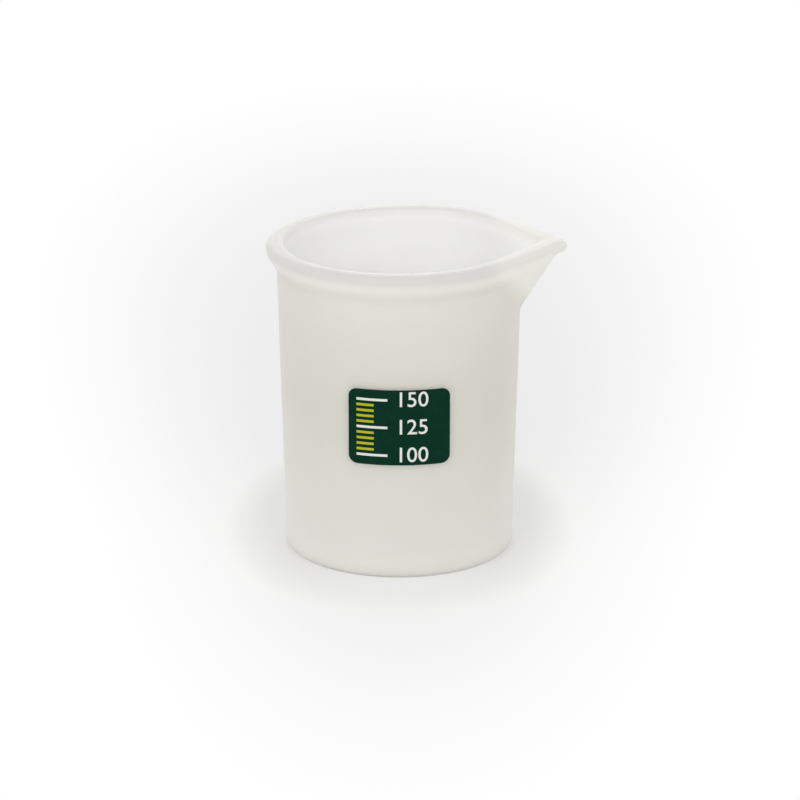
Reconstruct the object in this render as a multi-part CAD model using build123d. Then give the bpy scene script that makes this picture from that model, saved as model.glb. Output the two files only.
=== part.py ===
from build123d import *
from math import acos, atan2, cos, pi, radians, sin, sqrt
import os

# A soft mixing cup moulded in one piece: tapered wall, flared lip and V spout, with a printed
# gauge on its front. Millimetres, +Z up; the origin is on the cup's axis, on the face it stands on.
# The spout points along +X and the printed front faces -Y.

# The moulded cup, whose wall is wider at the brim than at the base
cup_height = 90.0
base_radius = 32.4
wall_taper = 2.4
brim_radius = base_radius + wall_taper
wall = 2.4
floor_thickness = 3.0
base_round = 3.0
floor_round = 4.0

# The lip: how far it stands out from the wall, its rounded edges and the height of its flare
lip_overhang = 2.8
lip_round = 2.2
lip_inner_round = 1.2
flare_height = 6.4

# The spout: its length beyond the wall, its lip from the channel's tip to its own, and the depths
# of its keel and channel below the brim. Reaches are measured from the cup's axis.
spout_length = 12.6
spout_lip = 7.6
spout_reach = brim_radius + spout_length
channel_reach = spout_reach - spout_lip
spout_depth = 20.0
channel_depth = 16.0
spout_overhang = 2.0
spout_flare_height = 2.8
spout_blend = 4.0
nose_round = 0.4
channel_round = 1.0

# The raised scale on the back, a line for every 25 ml and a long line for every 50 ml
scale_lines = 9
scale_lines_per_litre = 40
scale_edge = 9.0
scale_long = 14.0
scale_short = 8.0
scale_thickness = 0.8
scale_relief = 0.5
scale_root = 0.8

# The printed gauge on the front, a line for every 5 ml from 100 ml up, every fifth line long
gauge_lines = 11
gauge_lines_per_litre = 200
gauge_lines_below = 20
gauge_lines_per_long = 5
gauge_inset = 2.2
gauge_long = 8.6
gauge_short = 4.8
gauge_thickness = 0.7
panel_width = 28.2
panel_margin = 2.9
panel_corner = 2.4
ink = 0.15

# Side of the cube that holds a litre
litre_side = 100.0

# How finely the curved skins are drawn: points on each side, and rings up the outer collar, over
# the lip's edge and up the hollow, which runs on past the brim to cut clean through it
side_points = 18
point_crowding = 1.8
collar_rings = 10
edge_rings = 4
hollow_rings = 6
overrun = 3.0


# Radii and reaches at a height

def wall_radius(height):
    return base_radius + wall_taper * height / cup_height


def bore_radius(height):
    return wall_radius(height) - wall


def ease(share):
    """S-curve from 0 to 1, level at both ends."""
    share = min(max(share, 0.0), 1.0)
    return share * share * (3.0 - 2.0 * share)


def flare(height, flare_length):
    """How much of an overhang stands out at a height: none below the flare, all at the lip."""
    lip_underside = cup_height - lip_round
    return ease((height - lip_underside + flare_length) / flare_length)


def straight_reach(height, depth, foot_reach, lip_height, lip_reach):
    """Straight line of a spout, from its foot on the wall up to its reach at the lip."""
    foot = cup_height - depth
    return foot_reach + (lip_reach - foot_reach) * (height - foot) / (lip_height - foot)


def outer_sizes(height):
    radius = wall_radius(height) + lip_overhang * flare(height, flare_height)
    foot_reach = wall_radius(cup_height - spout_depth)
    keel_reach = spout_reach - spout_overhang
    keel = straight_reach(height, spout_depth, foot_reach, cup_height - lip_round, keel_reach)
    reach = min(keel, keel_reach) + spout_overhang * flare(height, spout_flare_height)
    return radius, reach, nose_round + lip_round


def inner_sizes(height):
    foot_reach = bore_radius(cup_height - channel_depth)
    reach = straight_reach(height, channel_depth, foot_reach, cup_height, channel_reach)
    return bore_radius(height), reach, channel_round


# Outlines and skins

def outline_radius(angle, radius, reach, nose):
    """Distance from the axis to a round outline whose +X side is drawn out to a blunt V.

    The V's sides touch both the round and the small circle of its nose.
    """
    if reach <= radius:
        return radius
    nose_centre = reach - nose
    touch = acos((radius - nose) / nose_centre)
    nose_touch = atan2(nose * sin(touch), nose_centre + nose * cos(touch))
    if angle >= touch:
        return radius
    if angle > nose_touch:
        return radius / cos(touch - angle)
    return nose_centre * cos(angle) + sqrt(nose ** 2 - (nose_centre * sin(angle)) ** 2)


def outline(height, radius, reach, nose):
    """Closed smooth outline at a height, from the spout's nose round to it again.

    The points are crowded towards the nose.
    """
    points = []
    for step in range(2 * side_points):
        side = 1 if step <= side_points else -1
        from_nose = min(step, 2 * side_points - step) / side_points
        angle = pi * from_nose ** point_crowding
        r = outline_radius(angle, radius, reach, nose)
        points.append((r * cos(angle), side * r * sin(angle), height))
    return make_face(Spline(*points, periodic=True))


def even_rings(sizes, low, high, rings):
    """Outlines of a skin at even heights from low to high."""
    heights = [low + (high - low) * ring / rings for ring in range(rings + 1)]
    return [outline(height, *sizes(height)) for height in heights]


def lip_rings():
    """Outlines of the lip's rounded outer edge, above its side and up to the brim."""
    rings = []
    for ring in range(1, edge_rings + 1):
        turn = radians(90.0 * ring / edge_rings)
        height = cup_height - lip_round + lip_round * sin(turn)
        inset = lip_round - lip_round * cos(turn)
        rings.append(outline(height, *[size - inset for size in outer_sizes(height)]))
    return rings


def skin(sizes, bottom, bottom_round, rings):
    """Solid inside a skin: straight from its bottom to the first ring, then smooth through all."""
    tube = loft([outline(bottom, *sizes(bottom)), rings[0]], ruled=True)
    body = tube + loft(rings)
    return fillet(body.edges().sort_by(Axis.Z)[0], bottom_round)


def outer_skin():
    collar = cup_height - spout_depth - spout_blend
    rings = even_rings(outer_sizes, collar, cup_height - lip_round, collar_rings)
    return skin(outer_sizes, 0.0, base_round, rings + lip_rings())


def hollow():
    collar = cup_height - channel_depth - spout_blend
    rings = even_rings(inner_sizes, collar, cup_height + overrun, hollow_rings)
    return skin(inner_sizes, floor_thickness, floor_round, rings)


def cup_wall():
    """The moulded wall and floor, with the brim's inner edge rounded."""
    cup = outer_skin() - hollow()
    brim = cup.faces().sort_by(Axis.Z)[-1]
    return fillet(brim.inner_wires()[0].edges(), lip_inner_round)


# Heights of the marks

def fill_height(litres):
    """Height of the surface of so many litres in the cup."""
    floor_radius = bore_radius(floor_thickness)
    slope = wall_taper / cup_height
    cube = floor_radius ** 3 + 3.0 * slope * litres * litre_side ** 3 / pi
    return floor_thickness + (cube ** (1.0 / 3.0) - floor_radius) / slope


def wall_layer(low, high):
    """Sleeve round the tapered wall, from low to high above its surface."""
    foot = base_round
    top = cup_height - lip_round - flare_height
    section = Polyline(
        (wall_radius(foot) + low, foot),
        (wall_radius(foot) + high, foot),
        (wall_radius(top) + high, top),
        (wall_radius(top) + low, top),
        close=True,
    )
    return revolve(Plane.XZ * make_face(section), Axis.Z)


# The raised scale on the back

def scale_height(line):
    return fill_height(line / scale_lines_per_litre)


def scale_bars():
    bars = []
    for line in range(1, scale_lines + 1):
        length = scale_short if line % 2 else scale_long
        bar = Box(length, brim_radius + wall, scale_thickness, align=(Align.MAX, Align.MIN, Align.CENTER))
        bars.append(Pos(scale_edge, 0, scale_height(line)) * bar)
    return bars


def silicone_cup():
    cup = cup_wall()
    layer = wall_layer(-scale_root, scale_relief)
    for bar in scale_bars():
        cup += layer & bar
    return cup


# The printed gauge on the front

def gauge_heights():
    lines = range(gauge_lines_below, gauge_lines_below + gauge_lines)
    return [fill_height(line / gauge_lines_per_litre) for line in lines]


def printed_panel():
    heights = gauge_heights()
    bottom = heights[0] - panel_margin
    top = heights[-1] + panel_margin
    shape = RectangleRounded(panel_width, top - bottom, panel_corner)
    block = extrude(Plane.XZ * Pos(0, (top + bottom) / 2) * shape, brim_radius + wall)
    return wall_layer(0.0, ink) & block


def gauge_bar(height, length):
    bar = Box(length, brim_radius + wall, gauge_thickness, align=(Align.MIN, Align.MAX, Align.CENTER))
    return Pos(gauge_inset - panel_width / 2, 0, height) * bar


def printed_lines(long_lines):
    """The long lines of the gauge or its short ones, printed over the panel."""
    layer = wall_layer(ink, ink + ink)
    length = gauge_long if long_lines else gauge_short
    lines = []
    for line, height in enumerate(gauge_heights()):
        if (line % gauge_lines_per_long == 0) == long_lines:
            lines.append(layer & gauge_bar(height, length))
    return Compound(children=[solid for line in lines for solid in line.solids()])


parts = {
    "silicone_cup": silicone_cup(),
    "green_panel": printed_panel(),
    "white_lines": printed_lines(True),
    "yellow_lines": printed_lines(False),
}

os.makedirs("parts", exist_ok=True)
for name, part in parts.items():
    export_step(part, f"parts/{name}.step")
    size = part.bounding_box().size
    print(name, len(part.solids()), round(part.volume), [round(v, 2) for v in (size.X, size.Y, size.Z)])
print("scale lines at", [round(scale_height(line), 2) for line in range(1, scale_lines + 1)])
print("gauge lines at", [round(height, 2) for height in gauge_heights()])
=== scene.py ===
from math import acos, atan, atan2, cos, pi, radians, sin, sqrt

import bmesh
import bpy
from bpy.props import FloatProperty, FloatVectorProperty, IntProperty, PointerProperty
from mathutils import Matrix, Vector


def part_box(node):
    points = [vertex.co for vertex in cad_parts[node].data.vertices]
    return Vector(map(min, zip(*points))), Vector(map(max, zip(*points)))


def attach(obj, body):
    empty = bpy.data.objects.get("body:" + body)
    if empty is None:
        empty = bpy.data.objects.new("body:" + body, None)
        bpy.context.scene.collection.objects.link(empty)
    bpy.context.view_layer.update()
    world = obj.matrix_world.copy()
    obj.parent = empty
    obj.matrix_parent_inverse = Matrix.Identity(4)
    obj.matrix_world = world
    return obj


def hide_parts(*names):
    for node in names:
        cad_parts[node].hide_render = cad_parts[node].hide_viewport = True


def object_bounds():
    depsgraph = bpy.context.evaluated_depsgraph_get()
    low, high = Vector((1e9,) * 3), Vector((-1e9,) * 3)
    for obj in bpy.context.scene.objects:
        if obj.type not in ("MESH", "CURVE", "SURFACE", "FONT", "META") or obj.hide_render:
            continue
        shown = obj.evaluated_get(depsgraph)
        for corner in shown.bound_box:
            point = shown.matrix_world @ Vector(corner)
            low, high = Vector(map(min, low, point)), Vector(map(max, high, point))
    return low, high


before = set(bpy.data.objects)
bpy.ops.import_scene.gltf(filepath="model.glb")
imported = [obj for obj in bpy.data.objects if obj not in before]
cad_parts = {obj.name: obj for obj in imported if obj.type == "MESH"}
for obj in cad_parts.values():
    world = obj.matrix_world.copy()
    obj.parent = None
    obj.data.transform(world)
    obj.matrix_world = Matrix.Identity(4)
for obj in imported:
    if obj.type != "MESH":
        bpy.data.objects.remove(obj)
cad_low, cad_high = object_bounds()

bl_info = {
    "name": "Silicone mixing cup",
    "version": (1, 0, 0),
    "blender": (4, 5, 0),
    "location": "3D View > Sidebar > Mixing cup",
    "description": "Dresses the solid model of a moulded mixing cup and sets its stage",
    "category": "Add Mesh",
}


# Sizes and colours that a user would change

class CupSizes(bpy.types.PropertyGroup):
    """Sizes of the moulded cup, as in its solid model"""

    height: FloatProperty(
        name="Height", description="From the table up to the brim",
        default=round(cad_high.z, 4), min=0.01, unit="LENGTH")
    base_radius: FloatProperty(
        name="Base radius", description="Of the wall where it would meet the table",
        default=0.0324, min=0.005, unit="LENGTH")
    wall_taper: FloatProperty(
        name="Wall taper", description="How much further out the wall is at the brim",
        default=0.0024, min=0.0, unit="LENGTH")
    wall: FloatProperty(
        name="Wall", description="Thickness of the wall", default=0.0024, min=0.0005,
        unit="LENGTH")
    floor_thickness: FloatProperty(
        name="Floor", description="Thickness of the floor", default=0.003, min=0.0005,
        unit="LENGTH")
    base_round: FloatProperty(
        name="Base round", description="Radius of the bottom edge", default=0.0018, min=0.0,
        unit="LENGTH")
    floor_round: FloatProperty(
        name="Floor round", description="Radius between the floor and the bore", default=0.004,
        min=0.0, unit="LENGTH")
    lip_overhang: FloatProperty(
        name="Lip overhang", description="How far the lip stands out from the wall",
        default=0.0028, min=0.0, unit="LENGTH")
    lip_round: FloatProperty(
        name="Lip round", description="Radius of the lip's outer edge", default=0.0022,
        min=0.0002, unit="LENGTH")
    lip_inner_round: FloatProperty(
        name="Inner lip round", description="Radius of the lip's inner edge", default=0.0015,
        min=0.0002, unit="LENGTH")
    flare_height: FloatProperty(
        name="Flare", description="Height over which the wall flares out to the lip",
        default=0.0064, min=0.0005, unit="LENGTH")
    spout_length: FloatProperty(
        name="Spout length", description="From the wall at the brim out to the spout's tip",
        default=0.0126, min=0.0, unit="LENGTH")
    spout_lip: FloatProperty(
        name="Spout lip", description="From the tip of the channel to the tip of the spout",
        default=0.0076, min=0.001, unit="LENGTH")
    spout_depth: FloatProperty(
        name="Spout depth", description="From the brim down to the foot of the keel",
        default=0.020, min=0.004, unit="LENGTH")
    channel_depth: FloatProperty(
        name="Channel depth", description="From the brim down to the foot of the channel",
        default=0.016, min=0.004, unit="LENGTH")
    spout_overhang: FloatProperty(
        name="Spout overhang", description="How far the spout's lip stands out from its keel",
        default=0.0017, min=0.0, unit="LENGTH")
    spout_flare_height: FloatProperty(
        name="Spout flare", description="Height over which the keel flares out to the lip",
        default=0.0015, min=0.0005, unit="LENGTH")
    spout_lip_depth: FloatProperty(
        name="Spout lip depth", description="How much deeper the lip is at the spout's blunt tip",
        default=0.0005, min=0.0, unit="LENGTH")
    spout_blend: FloatProperty(
        name="Spout blend", description="Height below the spout over which the wall is shaped",
        default=0.004, min=0.0, unit="LENGTH")
    nose_round: FloatProperty(
        name="Nose round", description="Radius of the spout's tip at the brim", default=0.001,
        min=0.0001, unit="LENGTH")
    channel_round: FloatProperty(
        name="Channel round", description="Radius of the channel's tip", default=0.001,
        min=0.0001, unit="LENGTH")
    softness: FloatProperty(
        name="Softness", description="How far the soft wall strays from a true round",
        default=0.00012, min=0.0, unit="LENGTH")
    rim_lift: FloatProperty(
        name="Rim lift", description="How far the soft rim rises behind the spout",
        default=0.0009, min=0.0, unit="LENGTH")
    rim_lift_turn: FloatProperty(
        name="Rim lift turn", description="From the spout round to where the rim is highest",
        default=radians(45.0), unit="ROTATION")
    rim_lift_spread: FloatProperty(
        name="Rim lift spread", description="From there to where the rim is level again",
        default=radians(60.0), min=radians(1.0), unit="ROTATION")


class MeshSteps(bpy.types.PropertyGroup):
    """How finely the meshes are drawn"""

    side_columns: IntProperty(
        name="Columns", description="Columns of faces from the spout's tip to the back",
        default=96, min=12)
    column_crowding: FloatProperty(
        name="Crowding", description="How closely the columns crowd at the spout, 1 is evenly",
        default=2.0, min=1.0)
    corner_rings: IntProperty(
        name="Corner rings", description="Rings of faces round the bottom edge, inside and out",
        default=10, min=2)
    wall_rings: IntProperty(
        name="Wall rings", description="Rings up the wall below the spout, inside and out",
        default=18, min=1)
    collar_rings: IntProperty(
        name="Collar rings", description="Rings up the outside of the spout", default=40, min=2)
    channel_rings: IntProperty(
        name="Channel rings", description="Rings down the inside of the spout", default=30, min=2)
    lip_rings: IntProperty(
        name="Lip rings", description="Rings over the lip's outer edge", default=10, min=2)
    inner_lip_rings: IntProperty(
        name="Inner lip rings", description="Rings over the lip's inner edge", default=8, min=2)
    line_columns: IntProperty(
        name="Line columns", description="Columns along a raised line", default=40, min=4)
    line_rows: IntProperty(
        name="Line rows", description="Rows over a raised line", default=10, min=4)
    numeral_slice: FloatProperty(
        name="Numeral slices", description="Width of the slices that bend round the wall",
        default=0.0006, min=0.0001, unit="LENGTH")


class ScaleSizes(bpy.types.PropertyGroup):
    """The raised scale on the back of the cup"""

    lines: IntProperty(name="Lines", description="How many lines", default=9, min=0)
    lines_per_litre: IntProperty(
        name="Lines per litre", description="How finely the scale is divided", default=40, min=1)
    edge: FloatProperty(
        name="Edge", description="Where the lines begin, towards the spout from the middle",
        default=0.009, unit="LENGTH")
    long_line: FloatProperty(
        name="Long line", description="Length of every second line", default=0.014, min=0.001,
        unit="LENGTH")
    short_line: FloatProperty(
        name="Short line", description="Length of the other lines", default=0.008, min=0.001,
        unit="LENGTH")
    thickness: FloatProperty(
        name="Thickness", description="Thickness of a line", default=0.0008, min=0.0001,
        unit="LENGTH")
    relief: FloatProperty(
        name="Relief", description="How far the scale stands out", default=0.0005, min=0.0,
        unit="LENGTH")
    root: FloatProperty(
        name="Root", description="How deep it is sunk in the wall", default=0.0003, min=0.0,
        unit="LENGTH")
    numeral_height: FloatProperty(
        name="Numerals", description="Height of the raised numerals", default=0.0052, min=0.001,
        unit="LENGTH")
    numeral_gap: FloatProperty(
        name="Numeral gap", description="Space between a long line and its numeral",
        default=0.0016, min=0.0, unit="LENGTH")


class GaugeSizes(bpy.types.PropertyGroup):
    """The numerals of the printed gauge; its panel and lines are the solid model's own"""

    numeral_height: FloatProperty(
        name="Numerals", description="Height of the printed numerals", default=0.0043, min=0.001,
        unit="LENGTH")
    numeral_gap: FloatProperty(
        name="Numeral gap", description="Space between a long line and its numeral",
        default=0.0022, min=0.0, unit="LENGTH")
    ink: FloatProperty(
        name="Ink", description="Thickness of one coat of ink", default=0.00015, min=0.00002,
        unit="LENGTH")
    lowest: IntProperty(
        name="Lowest", description="Millilitres at the lowest long line", default=100)
    interval: IntProperty(
        name="Interval", description="Millilitres from one long line to the next", default=25)
    numerals: IntProperty(name="Numerals", description="How many numerals", default=3, min=0)


class CupFinishes(bpy.types.PropertyGroup):
    """Colours of the silicone, with the painted light and shade on it, and of the inks"""

    silicone: FloatVectorProperty(
        name="Silicone", description="Milky silicone, seen from outside", subtype="COLOR", size=3,
        min=0.0, max=1.0, default=(0.69, 0.67, 0.605))
    # Painted shade: the lip is coloured greyer to stand in for the darker look of its thick
    # silicone, through which less light comes
    silicone_lip: FloatVectorProperty(
        name="Silicone, lip", description="Greyer where it is thick, in the lip", subtype="COLOR",
        size=3, min=0.0, max=1.0, default=(0.62, 0.61, 0.585))
    # Painted light: paler at the foot of the wall and on the spout
    silicone_pale: FloatVectorProperty(
        name="Silicone, pale", description="Paler near the floor of the cup and on the spout",
        subtype="COLOR", size=3, min=0.0, max=1.0, default=(0.97, 0.945, 0.83))
    # Painted light: paler in the bore and on the flare under the lip, for light that comes through
    # the wall and off the floor
    silicone_inside: FloatVectorProperty(
        name="Silicone, inside", description="In the bore, where light also comes through the wall",
        subtype="COLOR", size=3, min=0.0, max=1.0, default=(1.0, 0.985, 0.945))
    # Painted light on the spout: the lean of its edge, and where it starts and where it is full
    spout_tint_lean: FloatProperty(
        name="Spout tint lean", description="How far the edge of the spout's paler tint leans in",
        default=0.6)
    spout_tint_start: FloatProperty(
        name="Spout tint start", description="Where it starts, outwards from the keel's foot",
        default=0.002, unit="LENGTH")
    spout_tint_end: FloatProperty(
        name="Spout tint end", description="Where it is full, outwards from the keel's foot",
        default=0.0105, unit="LENGTH")
    # Painted light at the foot of the wall: how much paler, and how far up
    low_tint: FloatProperty(
        name="Low tint", description="How much paler the foot of the wall is", default=0.9,
        min=0.0, max=1.0)
    low_reach: FloatProperty(
        name="Low reach", description="How far up the cup that goes, as a share of its height",
        default=0.6, min=0.05, max=1.0)
    # Painted light on the flare under the lip: how much paler, and where it starts and where it is
    # full
    flare_tint: FloatProperty(
        name="Flare tint", description="How much paler the flare under the lip is",
        default=0.42, min=0.0, max=1.0)
    flare_tint_start: FloatProperty(
        name="Flare tint start", description="How far below the brim that starts",
        default=0.0085, min=0.0, unit="LENGTH")
    flare_tint_end: FloatProperty(
        name="Flare tint end", description="How far below the brim it is full",
        default=0.004, min=0.0, unit="LENGTH")
    # How much of the spout's painted light the lip hides
    lip_cover: FloatProperty(
        name="Lip cover", description="How much of the spout's paler tint the lip hides",
        default=0.75, min=0.0, max=1.0)
    clouds: FloatVectorProperty(
        name="Clouds", description="Colour of the faint clouds in it", subtype="COLOR", size=3,
        min=0.0, max=1.0, default=(0.5, 0.48, 0.42))
    clouding: FloatProperty(
        name="Clouding", description="How much darker the clouds in it are", default=0.04,
        min=0.0, max=1.0)
    translucency: FloatProperty(
        name="Translucency", description="How far light goes through the silicone",
        default=0.010, min=0.0, unit="LENGTH")
    floor_translucency: FloatProperty(
        name="Translucency, floor", description="How far light goes through the cup's floor",
        default=0.001, min=0.0, unit="LENGTH")
    wave_depth: FloatProperty(
        name="Waves", description="Depth of the soft waves that the mould leaves",
        default=0.00025, min=0.0, unit="LENGTH")
    tooth_depth: FloatProperty(
        name="Tooth", description="Depth of the skin's fine tooth", default=0.00002, min=0.0,
        unit="LENGTH")
    green: FloatVectorProperty(
        name="Green ink", description="Ground coat of the printed panel", subtype="COLOR", size=3,
        min=0.0, max=1.0, default=(0.0005, 0.029, 0.0145))
    white: FloatVectorProperty(
        name="White ink", description="Long lines and numerals", subtype="COLOR", size=3,
        min=0.0, max=1.0, default=(0.78, 0.80, 0.74))
    yellow: FloatVectorProperty(
        name="Yellow ink", description="Short lines", subtype="COLOR", size=3, min=0.0, max=1.0,
        default=(0.46, 0.48, 0.022))


class StageSettings(bpy.types.PropertyGroup):
    """Camera, lamps and floor"""

    distance: FloatProperty(
        name="Distance", description="From the camera to what it looks at", default=1.2, min=0.1,
        unit="LENGTH")
    elevation: FloatProperty(
        name="Elevation", description="How far the camera looks down", default=radians(18.3),
        unit="ROTATION")
    aim_x: FloatProperty(
        name="Aim X", description="Where the camera aims, across", default=0.0002, unit="LENGTH")
    aim_z: FloatProperty(
        name="Aim Z", description="Where the camera aims, up", default=0.0424, unit="LENGTH")
    lens: FloatProperty(
        name="Lens", description="Focal length in millimetres", default=189.1, min=10.0)
    sensor: FloatProperty(
        name="Sensor", description="Width of the camera's sensor in millimetres", default=36.0,
        min=1.0)
    tent_sides: FloatProperty(
        name="Tent sides", description="Strength of the white tent's light near the table",
        default=1.15, min=0.0)
    tent_top: FloatProperty(
        name="Tent top", description="Strength of the white tent's light from straight above",
        default=0.55, min=0.0)
    key: FloatProperty(
        name="Key lamp", description="Power of the large lamp in front in watts", default=5.0,
        min=0.0)
    key_place: FloatVectorProperty(
        name="Key lamp place", description="Where the lamp in front stands",
        subtype="TRANSLATION", size=3, default=(-0.2, -1.3, 0.9))
    rear: FloatProperty(
        name="Rear lamp", description="Power of the large lamp behind in watts", default=4.5,
        min=0.0)
    rear_place: FloatVectorProperty(
        name="Rear lamp place", description="Where the lamp behind stands",
        subtype="TRANSLATION", size=3, default=(0.0, 1.5, 0.7))
    lamp_width: FloatProperty(
        name="Lamp width", description="Width of either lamp", default=1.3, min=0.01,
        unit="LENGTH")
    lamp_height: FloatProperty(
        name="Lamp height", description="Height of either lamp", default=1.0, min=0.01,
        unit="LENGTH")
    halo: FloatProperty(
        name="Halo", description="How much of the floor's own shade shows round the cup",
        default=0.54, min=0.0, max=1.0)
    halo_width: FloatProperty(
        name="Halo width", description="From the middle of the cup to the side of the halo",
        default=0.09, min=0.01, unit="LENGTH")
    halo_spread: FloatProperty(
        name="Halo spread", description="How much wider the halo gets per metre behind the cup",
        default=0.12, min=0.0)
    halo_behind: FloatProperty(
        name="Halo behind", description="How far the middle of the halo is behind the cup",
        default=0.173, unit="LENGTH")
    halo_depth: FloatProperty(
        name="Halo depth", description="From the middle of the halo to its front or back",
        default=0.35, min=0.01, unit="LENGTH")
    contact: FloatProperty(
        name="Contact", description="How much shade shows right in front of the cup's base",
        default=0.58, min=0.0, max=1.0)
    contact_sides: FloatProperty(
        name="Contact, sides", description="How much shade shows right beside the cup's base",
        default=0.90, min=0.0, max=1.0)
    contact_width: FloatProperty(
        name="Contact width", description="From the middle of the contact shade to its side",
        default=0.037, min=0.01, unit="LENGTH")
    contact_behind: FloatProperty(
        name="Contact behind", description="How far its middle is behind the middle of the cup",
        default=0.02, unit="LENGTH")
    contact_depth: FloatProperty(
        name="Contact depth", description="From the middle of the contact shade to its front",
        default=0.062, min=0.01, unit="LENGTH")
    crack: FloatProperty(
        name="Crack", description="How much of that shade shows in the crack under the cup's edge",
        default=0.6, min=0.0, max=1.0)
    floor: FloatVectorProperty(
        name="Floor", description="Colour of the floor round the cup", subtype="COLOR", size=3,
        min=0.0, max=1.0, default=(0.80, 0.80, 0.80))
    floor_reach: FloatProperty(
        name="Floor reach", description="From the cup to each edge of the floor", default=4.0,
        min=0.5, unit="LENGTH")


class DressingSettings(bpy.types.PropertyGroup):
    """All sizes and colours of the scene"""

    cup: PointerProperty(type=CupSizes, name="Cup", description="Sizes of the cup")
    steps: PointerProperty(type=MeshSteps, name="Steps", description="How finely it is drawn")
    scale: PointerProperty(type=ScaleSizes, name="Scale", description="The raised scale")
    gauge: PointerProperty(type=GaugeSizes, name="Gauge", description="The printed gauge")
    finishes: PointerProperty(type=CupFinishes, name="Finishes", description="Colours")
    stage: PointerProperty(type=StageSettings, name="Stage", description="Camera and light")


# Finishes: node trees written as Python expressions

class Number:
    """A number that varies over a surface, and takes Python arithmetic"""

    def __init__(self, finish, socket):
        self.finish = finish
        self.socket = socket

    def maths(self, operation, *values):
        return self.finish.node("ShaderNodeMath", {"operation": operation},
                                dict(enumerate(values))).number(0)

    def __add__(self, other):
        return self.maths("ADD", self, other)

    def __sub__(self, other):
        return self.maths("SUBTRACT", self, other)

    def __rsub__(self, other):
        return self.maths("SUBTRACT", other, self)

    def __mul__(self, other):
        return self.maths("MULTIPLY", self, other)

    def __truediv__(self, other):
        return self.maths("DIVIDE", self, other)

    def __pow__(self, other):
        return self.maths("POWER", self, other)

    __radd__ = __add__
    __rmul__ = __mul__

    def clamped(self):
        return self.maths("MINIMUM", self.maths("MAXIMUM", self, 0.0), 1.0)

    def step(self, low, high):
        """0 below low, 1 above high, and a smooth S between"""
        node = self.finish.node(
            "ShaderNodeMapRange", {"interpolation_type": "SMOOTHSTEP"},
            {"Value": self, "From Min": low, "From Max": high, "To Min": 0.0, "To Max": 1.0})
        return node.number("Result")


class Node:
    """A node of a finish, whose outputs are read by name or place"""

    def __init__(self, finish, node):
        self.finish = finish
        self.node = node

    def out(self, name):
        return self.node.outputs[name]

    def number(self, name):
        return Number(self.finish, self.node.outputs[name])


class Finish:
    """A material or a world and the nodes that make it"""

    def __init__(self, owner, place="Object"):
        self.owner = owner
        owner.use_nodes = True
        self.tree = owner.node_tree
        self.tree.nodes.clear()
        self.place = self.node("ShaderNodeTexCoord").out(place)

    def node(self, kind, settings=None, values=None):
        """Adds a node: its settings come first, then the values or links of its sockets"""
        node = self.tree.nodes.new(kind)
        for name, value in (settings or {}).items():
            setattr(node, name, value)
        for name, value in (values or {}).items():
            socket = node.inputs[name]
            if isinstance(value, Number):
                self.tree.links.new(value.socket, socket)
            elif isinstance(value, bpy.types.NodeSocket):
                self.tree.links.new(value, socket)
            elif hasattr(value, "__len__") and len(value) == 3 and len(socket.default_value) == 4:
                socket.default_value = (*value, 1.0)
            else:
                socket.default_value = value
        return Node(self, node)

    def noise(self, per_metre, detail=2.0, roughness=0.5):
        """Soft noise from 0 to 1, with so many cells in a metre"""
        return self.node("ShaderNodeTexNoise", {"noise_dimensions": "3D"},
                         {"Vector": self.place, "Scale": per_metre, "Detail": detail,
                          "Roughness": roughness}).number("Fac")

    def axes(self):
        """How far right, back and up a place is, in metres"""
        parts = self.node("ShaderNodeSeparateXYZ", {}, {"Vector": self.place})
        return [parts.number(axis) for axis in "XYZ"]

    def mixed(self, share, first, second):
        """A colour that goes from first to second"""
        return self.node("ShaderNodeMix", {"data_type": "RGBA"},
                         {0: share, 6: first, 7: second}).out(2)

    def bumped(self, relief, distance, normal=None):
        values = {"Height": relief, "Distance": distance, "Strength": 1.0}
        if normal is not None:
            values["Normal"] = normal
        return self.node("ShaderNodeBump", {}, values).out("Normal")

    def surface(self, shader, kind="ShaderNodeOutputMaterial"):
        self.node(kind, {"target": "ALL"}, {"Surface": shader})
        return self.owner


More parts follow.
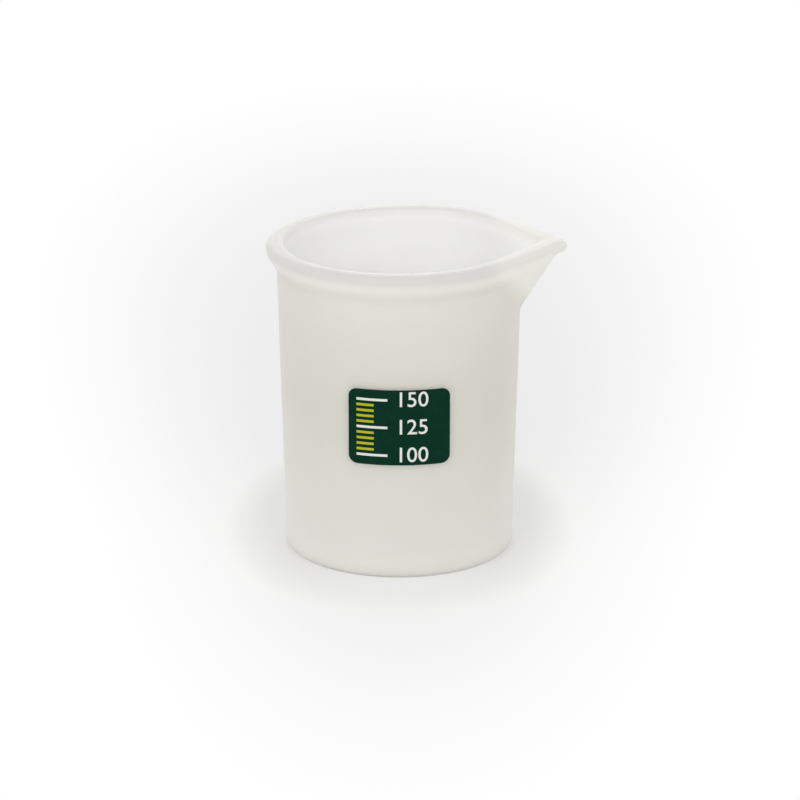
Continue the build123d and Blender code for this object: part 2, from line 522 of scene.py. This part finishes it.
def silicone_finish(name, translucency, finishes, sizes):
    """Milky satin silicone: light sinks in, its skin has a fine tooth and soft moulding waves, and
    its colour holds painted light and shade: paler at the foot, under the lip, on the spout and in
    the bore, greyer on the lip
    """
    satin, handled_share, tooth_share = 0.40, 0.10, 0.06
    lip_start_share, lip_full_share = 2.0, 0.6
    finish = Finish(bpy.data.materials.new(name))
    x, _, z = finish.axes()
    # How much of the bore's painted light each point takes
    inside = finish.node("ShaderNodeAttribute", {"attribute_name": "inside"}).number("Fac")
    clouds = finish.noise(per_metre=38.0, detail=3.0).step(low=0.35, high=0.7)
    tooth = finish.noise(per_metre=2600.0)
    waves = finish.noise(per_metre=70.0, detail=1.5)
    handled = finish.noise(per_metre=120.0, detail=4.0, roughness=0.6).step(low=0.5, high=0.75)
    # Painted light: paler towards the foot of the wall, where the bright floor lights it
    low = 1.0 - z.step(0.0, sizes.height * finishes.low_reach)
    # Painted light: paler on the flare under the lip, where the floor lights it from below
    flare = z.step(sizes.height - finishes.flare_tint_start, sizes.height - finishes.flare_tint_end)
    # Painted shade: greyer on the lip
    lip = z.step(sizes.height - lip_start_share * sizes.lip_round,
                 sizes.height - lip_full_share * sizes.lip_round)
    # Painted light: paler on the spout
    lean = finishes.spout_tint_lean
    foot = sizes.base_radius + lean * (sizes.height - sizes.spout_depth)
    spout = (x + z * lean).step(foot + finishes.spout_tint_start, foot + finishes.spout_tint_end)
    colour = finish.mixed(low * finishes.low_tint, finishes.silicone, finishes.silicone_pale)
    colour = finish.mixed(flare * finishes.flare_tint, colour, finishes.silicone_inside)
    colour = finish.mixed(lip, colour, finishes.silicone_lip)
    # The lip hides most of the spout's painted light
    shown = spout * (1.0 - lip * finishes.lip_cover)
    colour = finish.mixed(shown, colour, finishes.silicone_pale)
    # Painted light: paler in the bore, for light that comes through the wall
    colour = finish.mixed(inside, colour, finishes.silicone_inside)
    colour = finish.mixed(clouds * finishes.clouding, colour, finishes.clouds)
    normal = finish.bumped(waves, finishes.wave_depth)
    normal = finish.bumped(tooth, finishes.tooth_depth, normal)
    shader = finish.node("ShaderNodeBsdfPrincipled", {"subsurface_method": "RANDOM_WALK"}, {
        "Base Color": colour,
        "Roughness": satin + handled * handled_share + tooth * tooth_share,
        "Normal": normal,
        "IOR": 1.41,
        "Subsurface Weight": 1.0,
        "Subsurface Radius": (1.0, 1.0, 1.0),
        "Subsurface Scale": translucency,
    })
    return finish.surface(shader.out("BSDF"))


def ink_finish(name, ink, worn_to, cover, wear=0.005, pinhole_share=0.3, relief=0.00001):
    """Screen ink on silicone: slightly uneven, with fine pinholes where it didn't take.

    It is mixed with what it is worn to, by wear where it is mottled and more in the pinholes.
    """
    matt, mottle_share, grain_share, pinhole_edge = 0.52, 0.16, 0.4, 0.04
    finish = Finish(bpy.data.materials.new(name))
    mottle = finish.noise(per_metre=420.0, detail=3.0, roughness=0.65)
    grain = finish.noise(per_metre=5200.0, detail=1.0)
    pinholes = finish.noise(per_metre=3000.0, roughness=0.7).step(cover, cover + pinhole_edge)
    worn = tuple(part + (far - part) * wear for part, far in zip(ink, worn_to))
    colour = finish.mixed(mottle.step(low=0.4, high=0.75), tuple(ink), worn)
    colour = finish.mixed(pinholes * pinhole_share, colour, worn_to)
    shader = finish.node("ShaderNodeBsdfPrincipled", {}, {
        "Base Color": colour,
        "Roughness": matt + mottle * mottle_share,
        "Normal": finish.bumped(mottle + grain * grain_share, relief),
        "IOR": 1.48,
        "Specular IOR Level": 0.06,
    })
    return finish.surface(shader.out("BSDF"))


def floor_finish(stage, base_radius):
    """A pale floor that keeps the cup's shadow and fades to white away from it.

    The white is a glow that the camera sees; near the cup it is painted light over the floor's real
    shade, and the halo and contact shares set how much shade shows. The thin crack under the cup's
    rounded edge shows less of its shade, as painted light hides part of the shadow there.
    """
    halo_fade, contact_fade, crack_depth = (0.35, 1.15), (0.9, 1.7), 0.0014
    paper, paper_grain = 0.75, 0.1
    finish = Finish(bpy.data.materials.new("pale_floor"))
    x, y, _ = finish.axes()
    across = x / (y.maths("MAXIMUM", y, 0.0) * stage.halo_spread + stage.halo_width)
    along = (y - stage.halo_behind) / stage.halo_depth
    halo = (across * across + along * along) ** 0.5
    across = x / stage.contact_width
    along = (y - stage.contact_behind) / stage.contact_depth
    near = (across * across + along * along) ** 0.5
    contact = (across * across).clamped() * (stage.contact_sides - stage.contact) + stage.contact
    shade = (1.0 - halo.step(*halo_fade)) * stage.halo
    shade = shade.maths("MAXIMUM", shade, (1.0 - near.step(*contact_fade)) * contact)
    # Painted light in the crack under the cup's edge: the white glow hides part of its real shadow
    beyond = ((x * x + y * y) ** 0.5).step(base_radius - crack_depth, base_radius)
    shade = shade * (beyond * (1.0 - stage.crack) + stage.crack)
    # Camera, glossy and transmission rays see the floor mixed with a white glow, which near the cup
    # is painted light over its real shade
    rays = finish.node("ShaderNodeLightPath")
    seen = (rays.number("Is Camera Ray") + rays.number("Is Glossy Ray")
            + rays.number("Is Transmission Ray")).clamped()
    lit = finish.node("ShaderNodeBsdfPrincipled", {}, {
        "Base Color": stage.floor,
        "Roughness": paper + finish.noise(per_metre=900.0) * paper_grain,
        "Specular IOR Level": 0.2,
    })
    white = finish.node("ShaderNodeEmission", {}, {"Color": (1.0, 1.0, 1.0), "Strength": 1.0})
    mixed = finish.node("ShaderNodeMixShader", {}, {
        0: seen * (1.0 - shade), 1: lit.out("BSDF"), 2: white.out("Emission")})
    return finish.surface(mixed.out("Shader"))


def tent_light(stage):
    """White light from all round, as in a photographer's tent, softer from straight above"""
    finish = Finish(bpy.data.worlds.new("white_tent"), "Generated")
    _, _, up = finish.axes()
    strength = up.clamped() * (stage.tent_top - stage.tent_sides) + stage.tent_sides
    values = {"Color": (1.0, 1.0, 1.0), "Strength": strength}
    light = finish.node("ShaderNodeBackground", {}, values)
    return finish.surface(light.out("Background"), "ShaderNodeOutputWorld")


# Meshes

def linked(name, data):
    """An object made of the data, placed in the scene"""
    thing = bpy.data.objects.new(name, data)
    bpy.context.scene.collection.objects.link(thing)
    return thing


def piece_from(name, points, faces, material):
    """A new smooth mesh piece with its normals outwards"""
    mesh = bpy.data.meshes.new(name)
    mesh.from_pydata(points, [], faces)
    shell = bmesh.new()
    shell.from_mesh(mesh)
    bmesh.ops.recalc_face_normals(shell, faces=shell.faces)
    for face in shell.faces:
        face.smooth = True
    shell.to_mesh(mesh)
    shell.free()
    mesh.materials.append(material)
    return linked(name, mesh)


def joined(name, pieces):
    """One mesh piece out of several"""
    shell = bmesh.new()
    for piece in pieces:
        shell.from_mesh(piece.data)
    mesh = bpy.data.meshes.new(name)
    shell.to_mesh(mesh)
    shell.free()
    mesh.materials.append(pieces[0].data.materials[0])
    for piece in pieces:
        bpy.data.objects.remove(piece)
    return linked(name, mesh)


def unite(whole, part):
    """Make a part one moulding with a piece, with crisp edges where they meet"""
    crisp = radians(35.0)
    union = whole.modifiers.new("union", "BOOLEAN")
    union.operation = "UNION"
    union.solver = "EXACT"
    union.object = part
    evaluated = whole.evaluated_get(bpy.context.evaluated_depsgraph_get())
    mesh = bpy.data.meshes.new_from_object(evaluated)
    whole.modifiers.remove(union)
    whole.data = mesh
    bpy.data.objects.remove(part)
    mesh.set_sharp_from_angle(angle=crisp)


class CupShape:
    """The cup's radii and outlines at any height, worked out from its sizes"""

    # The rings of the flat discs of the floor and the underside, as shares of their radius
    disc_shares = (0.25, 0.5, 0.75, 0.9)

    # The lobes that the soft wall strays by: how many, where they begin and their shares
    lobes = ((2.0, 0.6, 0.5), (3.0, -1.1, 0.3), (5.0, 0.0, 0.2))

    def __init__(self, dressing):
        sizes = dressing.cup
        self.sizes = sizes
        self.steps = dressing.steps
        self.spout_reach = sizes.base_radius + sizes.wall_taper + sizes.spout_length
        self.channel_reach = self.spout_reach - sizes.spout_lip
        self.draft = atan(sizes.wall_taper / sizes.height)

    def wall_radius(self, height):
        return self.sizes.base_radius + self.sizes.wall_taper * height / self.sizes.height

    def bore_radius(self, height):
        return self.wall_radius(height) - self.sizes.wall

    def flare(self, height, length):
        """How much of an overhang stands out: none below the flare, all of it at the lip"""
        share = (height - self.sizes.height + self.sizes.lip_round + length) / length
        share = min(max(share, 0.0), 1.0)
        return share * share * (3.0 - 2.0 * share)

    def outer_sizes(self, height):
        """Radius, spout reach and nose radius of the outer skin"""
        sizes = self.sizes
        underside = sizes.height - sizes.lip_round
        foot = sizes.height - sizes.spout_depth
        foot_reach = self.wall_radius(foot)
        keel_reach = self.spout_reach - sizes.spout_overhang
        keel = foot_reach + (keel_reach - foot_reach) * (height - foot) / (underside - foot)
        nose = self.flare(height + sizes.spout_lip_depth, sizes.spout_flare_height)
        reach = min(keel, keel_reach) + sizes.spout_overhang * nose
        overhang = sizes.lip_overhang * self.flare(height, sizes.flare_height)
        return self.wall_radius(height) + overhang, reach, sizes.nose_round + sizes.lip_round

    def inner_sizes(self, height):
        """Radius, channel reach and nose radius of the hollow"""
        sizes = self.sizes
        foot = sizes.height - sizes.channel_depth
        foot_reach = self.bore_radius(foot)
        slope = (self.channel_reach - foot_reach) / sizes.channel_depth
        return self.bore_radius(height), foot_reach + slope * (height - foot), sizes.channel_round

    def outline_radius(self, angle, radius, reach, nose):
        """Distance from the axis to a round outline drawn out to a blunt V towards +X"""
        angle = abs(angle)
        if reach <= radius:
            return radius
        centre = reach - nose
        touch = acos((radius - nose) / centre)
        nose_touch = atan2(nose * sin(touch), centre + nose * cos(touch))
        if angle >= touch:
            return radius
        if angle > nose_touch:
            return radius / cos(touch - angle)
        return centre * cos(angle) + sqrt(max(nose ** 2 - (centre * sin(angle)) ** 2, 0.0))

    def rings(self):
        """The skin as (height, radius, reach, nose), up the outside and down the inside.

        Also the number of the first ring of the inside.
        """
        sizes, steps = self.sizes, self.steps
        rings = []

        def even_turns(count, start, end):
            """Angles in even steps, from start to end"""
            return [start + (end - start) * step / count for step in range(count + 1)]

        def disc(height, radius, shares):
            """Flat rings inside a radius"""
            for share in shares:
                rings.append((height, radius * share, 0.0, 0.0))

        def corner(centre_height, wall_radius, size, turns):
            """Rings round a bottom edge that runs on into the wall"""
            middle = wall_radius - size / cos(self.draft)
            for turn in turns:
                radius = middle + size * cos(turn)
                rings.append((centre_height + size * sin(turn), radius, 0.0, 0.0))

        def even(start, end, count, skin):
            """Rings of a skin in even steps, from the first after start to the one at end"""
            for step in range(1, count + 1):
                height = start + (end - start) * step / count
                rings.append((height, *skin(height)))

        def lip_edge(size, side, skin, turns):
            """Rings of a skin over its rounded edge at the brim, drawn in (-1) or out (1)"""
            for turn in turns:
                height = sizes.height - size + size * sin(turn)
                shift = side * size * (1.0 - cos(turn))
                rings.append((height, *[value + shift for value in skin(height)]))

        base_radius = self.wall_radius(sizes.base_round)
        disc(0.0, base_radius - sizes.base_round / cos(self.draft), self.disc_shares)
        turns = even_turns(steps.corner_rings, -pi / 2, -self.draft)
        corner(sizes.base_round, base_radius, sizes.base_round, turns)
        collar = sizes.height - sizes.spout_depth - sizes.spout_blend
        even(sizes.base_round, collar, steps.wall_rings, self.outer_sizes)
        even(collar, sizes.height - sizes.lip_round, steps.collar_rings, self.outer_sizes)
        turns = even_turns(steps.lip_rings, 0.0, pi / 2)[1:]
        lip_edge(sizes.lip_round, -1.0, self.outer_sizes, turns)
        outer_brim = rings[-1]
        inner = len(rings) + 1
        turns = even_turns(steps.inner_lip_rings, pi / 2, 0.0)
        lip_edge(sizes.lip_inner_round, 1.0, self.inner_sizes, turns)
        inner_brim = rings[inner - 1]
        rings.insert(inner - 1, tuple((a + b) / 2 for a, b in zip(outer_brim, inner_brim)))
        foot = sizes.height - sizes.channel_depth - sizes.spout_blend
        even(sizes.height - sizes.lip_inner_round, foot, steps.channel_rings, self.inner_sizes)
        floor_top = sizes.floor_thickness + sizes.floor_round
        even(foot, floor_top, steps.wall_rings, self.inner_sizes)
        turns = even_turns(steps.corner_rings, -self.draft, -pi / 2)[1:]
        corner(floor_top, self.bore_radius(floor_top), sizes.floor_round, turns)
        disc(sizes.floor_thickness, rings[-1][1], reversed(self.disc_shares))
        return rings, inner

    def stray(self, angle, height):
        """How far the soft wall strays from its true round, nothing at the table"""
        lobes = sum(sin(count * angle + start) * share for count, start, share in self.lobes)
        return self.sizes.softness * height / self.sizes.height * lobes

    def lift(self, angle, height):
        """How far the soft rim rises behind the spout, nothing below the middle of the wall"""
        share = max(2.0 * height / self.sizes.height - 1.0, 0.0)
        away = abs(angle - self.sizes.rim_lift_turn)
        turn = min(away / self.sizes.rim_lift_spread, 1.0)
        return self.sizes.rim_lift * share * share * (1.0 - turn * turn) ** 2

    def on_wall(self, x, height, lift, side):
        """A point of the outer wall at x, lifted off it, on the front (-1) or back (1)"""
        radius = self.wall_radius(height) + lift
        if side > 0:
            radius += self.stray(acos(x / radius), height)
        return Vector((x, side * sqrt(radius ** 2 - x ** 2), height))

    def fill_height(self, millilitres):
        """Height of the surface of so much liquid in the cup"""
        floor = self.sizes.floor_thickness
        floor_radius = self.bore_radius(floor)
        slope = self.sizes.wall_taper / self.sizes.height
        cubic_metres = millilitres * 1e-6
        cube = floor_radius ** 3 + 3.0 * slope * cubic_metres / pi
        return floor + (cube ** (1.0 / 3.0) - floor_radius) / slope


def cup_mesh(shape):
    """Points and faces of the closed skin of the cup, its columns crowded towards the spout.

    Also how far each point counts as inside, which is also how much of the bore's painted light it
    takes: none outside, a little at the brim's inner edge.
    """
    brim_share = 0.1
    sides = shape.steps.side_columns
    columns = 2 * sides
    angles = []
    for column in range(columns):
        from_nose = min(column, columns - column) / sides
        angle = pi * from_nose ** shape.steps.column_crowding
        angles.append(angle if column <= sides else -angle)
    rings, inner = shape.rings()
    points = [(0.0, 0.0, 0.0)]
    inside = [0.0]
    for ring, (height, radius, reach, nose) in enumerate(rings):
        below = (shape.sizes.height - height) / (2.0 * shape.sizes.lip_inner_round)
        share = min(brim_share + (1.0 - brim_share) * below, 1.0)
        inside += [share if ring >= inner else 0.0] * columns
        for angle in angles:
            out = shape.outline_radius(angle, radius, reach, nose)
            out += shape.stray(angle, height) if height > shape.sizes.floor_thickness else 0.0
            points.append((out * cos(angle), out * sin(angle), height + shape.lift(angle, height)))
    points.append((0.0, 0.0, shape.sizes.floor_thickness))
    inside.append(1.0)
    faces = []
    for column in range(columns):
        after = (column + 1) % columns
        faces.append((0, 1 + after, 1 + column))
        for ring in range(len(rings) - 1):
            low, high = 1 + ring * columns, 1 + (ring + 1) * columns
            faces.append((low + column, low + after, high + after, high + column))
        last = 1 + (len(rings) - 1) * columns
        faces.append((last + column, last + after, len(points) - 1))
    return points, faces, inside


def line_mesh(shape, start, end, height, thickness, relief, root, side):
    """Points and faces of one raised line on the wall, round in section and at its ends.

    Its top is flattened, and its ends keep a little width.
    """
    flattening, least_end = 1.35, 0.02
    columns, rows = shape.steps.line_columns, shape.steps.line_rows
    half = thickness / 2
    points = []
    for column in range(columns + 1):
        x = start + (end - start) * column / columns
        inward = min(x - start, end - x)
        round_end = sqrt(max(1.0 - (1.0 - min(inward / half, 1.0)) ** 2, least_end))
        for row in range(rows + 1):
            turn = pi * row / rows
            across = -cos(turn) * half * round_end
            lift = relief * min(sin(turn) * flattening, 1.0) * round_end
            points.append(shape.on_wall(x, height + across, lift, side))
        for row in (rows, 0):
            across = (1.0 if row else -1.0) * half * round_end
            points.append(shape.on_wall(x, height + across, -root, side))
    ring = rows + 3
    faces = [tuple(range(ring)), tuple(columns * ring + row for row in reversed(range(ring)))]
    for column in range(columns):
        for row in range(ring):
            after = (row + 1) % ring
            a, b = column * ring, (column + 1) * ring
            faces.append((a + row, b + row, b + after, a + after))
    return points, faces


def numeral_piece(name, shape, text, cap_height, start, height, low, high, side, material):
    """A numeral wrapped round the wall, filling the space from low to high above it.

    It starts at start and reads towards -X on the back and towards +X on the front.
    """
    cap_share, edge_share, curve_steps, weld = 0.69, 0.22, 5, 1e-7
    curve = bpy.data.curves.new(name, "FONT")
    curve.body = text
    curve.align_y = "CENTER"
    curve.size = cap_height / cap_share
    curve.resolution_u = curve_steps
    edge = (high - low) * edge_share
    curve.extrude = (high - low) / 2 - edge
    curve.bevel_depth = edge
    curve.bevel_resolution = 1
    flat = linked(name, curve)
    bpy.context.view_layer.update()
    mesh = bpy.data.meshes.new_from_object(flat)
    bpy.data.objects.remove(flat)
    shell = bmesh.new()
    shell.from_mesh(mesh)
    bmesh.ops.remove_doubles(shell, verts=shell.verts, dist=weld)
    reach = max(point.co.x for point in shell.verts)
    slice_width = shape.steps.numeral_slice
    for number in range(1, int(reach / slice_width) + 1):
        bmesh.ops.bisect_plane(
            shell, geom=shell.verts[:] + shell.edges[:] + shell.faces[:],
            plane_co=(number * slice_width, 0, 0), plane_no=(1, 0, 0))
    middle = (low + high) / 2
    for point in shell.verts:
        x = start - side * point.co.x
        point.co = shape.on_wall(x, height + point.co.y, middle + point.co.z, side)
    bmesh.ops.recalc_face_normals(shell, faces=shell.faces)
    shell.to_mesh(mesh)
    shell.free()
    mesh.materials.clear()
    mesh.materials.append(material)
    return linked(name, mesh)


# Operators

def settings():
    return bpy.context.scene.mixing_cup


def silicone():
    """The silicone of the walls, and that of the floor, where the table keeps it from glowing"""
    finishes, sizes = settings().finishes, settings().cup
    depths = {"milky_silicone": finishes.translucency,
              "floor_silicone": finishes.floor_translucency}
    return [bpy.data.materials.get(name) or silicone_finish(name, depth, finishes, sizes)
            for name, depth in depths.items()]


class CUP_OT_moulded_cup(bpy.types.Operator):
    """Build the moulded cup with its lip and spout over its solid"""

    bl_idname = "mixing_cup.moulded_cup"
    bl_label = "Moulded cup"

    def execute(self, context):
        sizes = settings().cup
        corner_share = 0.1
        floor_top = sizes.floor_thickness + sizes.floor_round * corner_share
        points, faces, inside = cup_mesh(CupShape(settings()))
        wall, floor = silicone()
        cup = piece_from("moulded_cup", points, faces, wall)
        cup.data.materials.append(floor)
        for face in cup.data.polygons:
            low = all(points[corner][2] < floor_top for corner in face.vertices)
            face.material_index = 1 if low and inside[face.vertices[0]] > 0.0 else 0
        cup.data.attributes.new("inside", "FLOAT", "POINT").data.foreach_set("value", inside)
        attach(cup, "root")
        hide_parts("silicone_cup")
        return {"FINISHED"}


class CUP_OT_raised_scale(bpy.types.Operator):
    """Mould the raised lines and numerals on the back of the cup"""

    bl_idname = "mixing_cup.raised_scale"
    bl_label = "Raised scale"

    def execute(self, context):
        scale = settings().scale
        shape = CupShape(settings())
        lines, numerals = [], []
        for line in range(1, scale.lines + 1):
            millilitres = 1000 * line / scale.lines_per_litre
            height = shape.fill_height(millilitres)
            is_long = line % 2 == 0
            end = scale.edge - (scale.long_line if is_long else scale.short_line)
            points, faces = line_mesh(shape, end, scale.edge, height, scale.thickness,
                                      scale.relief, scale.root, 1)
            lines.append(piece_from(f"scale_line_{line}", points, faces, silicone()[0]))
            if is_long:
                numerals.append(numeral_piece(
                    f"scale_numeral_{line}", shape, f"{millilitres:.0f}", scale.numeral_height,
                    end - scale.numeral_gap, height, -scale.root, scale.relief, 1,
                    silicone()[0]))
        cup = bpy.data.objects["moulded_cup"]
        unite(cup, joined("raised_lines", lines))
        unite(cup, joined("raised_numerals", numerals))
        return {"FINISHED"}


class CUP_OT_printed_gauge(bpy.types.Operator):
    """Finish the printed panel and its lines, and print the numerals"""

    bl_idname = "mixing_cup.printed_gauge"
    bl_label = "Printed gauge"

    def execute(self, context):
        gauge = settings().gauge
        finishes = settings().finishes
        shape = CupShape(settings())
        ground, ground_cover, line_cover = tuple(finishes.green), 0.78, 0.80
        milky = tuple(finishes.silicone)
        green = ink_finish("green_ink_coat", ground, milky, ground_cover)
        white = ink_finish("white_ink_coat", finishes.white, ground, line_cover)
        yellow = ink_finish("yellow_ink_coat", finishes.yellow, ground, line_cover)
        coats = {"green_panel": green, "white_lines": white, "yellow_lines": yellow}
        for node, coat in coats.items():
            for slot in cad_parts[node].material_slots:
                slot.material = coat
        line_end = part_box("white_lines")[1].x
        numerals = []
        for number in range(gauge.numerals):
            millilitres = gauge.lowest + gauge.interval * number
            numerals.append(numeral_piece(
                f"gauge_numeral_{number}", shape, str(millilitres), gauge.numeral_height,
                line_end + gauge.numeral_gap, shape.fill_height(millilitres),
                gauge.ink, 2 * gauge.ink, -1, white))
        piece = joined("gauge_numerals", numerals)
        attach(piece, "root")
        return {"FINISHED"}


class CUP_OT_stage(bpy.types.Operator):
    """Set the floor, the light and the camera"""

    bl_idname = "mixing_cup.stage"
    bl_label = "Stage"

    def execute(self, context):
        stage = settings().stage
        scene = context.scene
        scene.view_settings.view_transform = "Standard"
        reach = stage.floor_reach
        corners = [(-reach, -reach, 0), (reach, -reach, 0), (reach, reach, 0), (-reach, reach, 0)]
        finish = floor_finish(stage, settings().cup.base_radius)
        piece_from("floor", corners, [(0, 1, 2, 3)], finish)
        scene.world = tent_light(stage)
        aim = Vector((stage.aim_x, 0.0, stage.aim_z))
        self.lamp("key", stage.key, Vector(stage.key_place), aim)
        self.lamp("rear", stage.rear, Vector(stage.rear_place), aim)
        camera = bpy.data.cameras.new("camera")
        camera.lens = stage.lens
        camera.sensor_width = stage.sensor
        eye = linked("camera", camera)
        back = Vector((0.0, -cos(stage.elevation), sin(stage.elevation)))
        eye.location = aim + back * stage.distance
        eye.rotation_euler = (pi / 2 - stage.elevation, 0.0, 0.0)
        scene.camera = eye
        return {"FINISHED"}

    def lamp(self, name, power, place, aim):
        """A large soft lamp turned to what the camera looks at"""
        stage = settings().stage
        light = bpy.data.lights.new(name, "AREA")
        light.energy = power
        light.shape = "RECTANGLE"
        light.size = stage.lamp_width
        light.size_y = stage.lamp_height
        lamp = linked(name, light)
        lamp.location = place
        lamp.rotation_euler = (aim - place).to_track_quat("-Z", "Y").to_euler()


class CUP_PT_sidebar(bpy.types.Panel):
    """Sizes, colours and steps of the mixing cup"""

    bl_idname = "CUP_PT_sidebar"
    bl_label = "Mixing cup"
    bl_space_type = "VIEW_3D"
    bl_region_type = "UI"
    bl_category = "Mixing cup"

    def draw(self, context):
        layout = self.layout
        for name in DressingSettings.__annotations__:
            group = getattr(settings(), name)
            box = layout.box()
            box.label(text=name.capitalize())
            for size in type(group).__annotations__:
                box.prop(group, size)
        for operator in operators:
            layout.operator(operator.bl_idname)


operators = (CUP_OT_moulded_cup, CUP_OT_raised_scale, CUP_OT_printed_gauge, CUP_OT_stage)
classes = (CupSizes, MeshSteps, ScaleSizes, GaugeSizes, CupFinishes, StageSettings,
           DressingSettings, *operators, CUP_PT_sidebar)


def register():
    for cls in classes:
        bpy.utils.register_class(cls)
    bpy.types.Scene.mixing_cup = PointerProperty(
        type=DressingSettings, name="Mixing cup", description="Sizes and colours of the mixing cup")


def unregister():
    del bpy.types.Scene.mixing_cup
    for cls in reversed(classes):
        bpy.utils.unregister_class(cls)


def main():
    register()
    bpy.ops.mixing_cup.moulded_cup()
    bpy.ops.mixing_cup.raised_scale()
    bpy.ops.mixing_cup.printed_gauge()
    bpy.ops.mixing_cup.stage()


if __name__ == "__main__":
    main()
